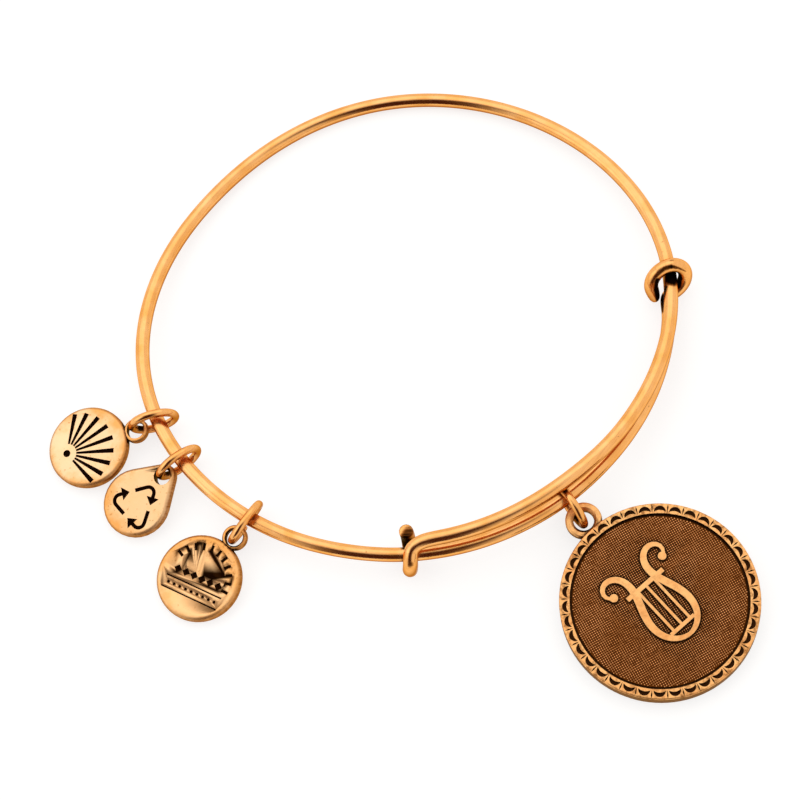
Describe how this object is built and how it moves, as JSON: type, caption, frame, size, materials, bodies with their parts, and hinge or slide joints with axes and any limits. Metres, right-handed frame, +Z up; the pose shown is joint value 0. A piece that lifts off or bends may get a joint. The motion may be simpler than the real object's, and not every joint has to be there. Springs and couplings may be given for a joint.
{
  "type": "charm bangle",
  "caption": "Expandable wire bangle, its ends wrapped round each other, with a scalloped round pendant and small charms hung on jump rings, lying on its side.",
  "frame": {"origin": "middle of the bangle's opening, on the plane that it lies on", "axes": "+Z up, along the way a hand goes through the opening; +X along the opening's long way, towards the loose loop; the pendant hangs out towards -Y and the small charms towards -X"},
  "size_m": [0.0767, 0.0806, 0.0063],
  "materials": {
    "bangle": "drawn wire, gold-tone plated, polished, dark where it is bent and where strands touch",
    "ring": "drawn wire, gold-tone plated, polished",
    "charm": "stamped and tumbled, gold-tone plated, with dark filled marks",
    "pendant": "cast, antiqued dark in its recesses, rubbed bright on its raised parts"
  },
  "bodies": {
    "root": {"bangle_wire": "bangle", "pendant_ring": "ring", "pendant": "pendant", "shell_charm_ring": "ring", "shell_charm": "charm", "drop_charm_ring": "ring", "drop_charm": "charm", "band_charm_ring": "ring", "band_charm": "charm"}
  },
  "joints": []
}
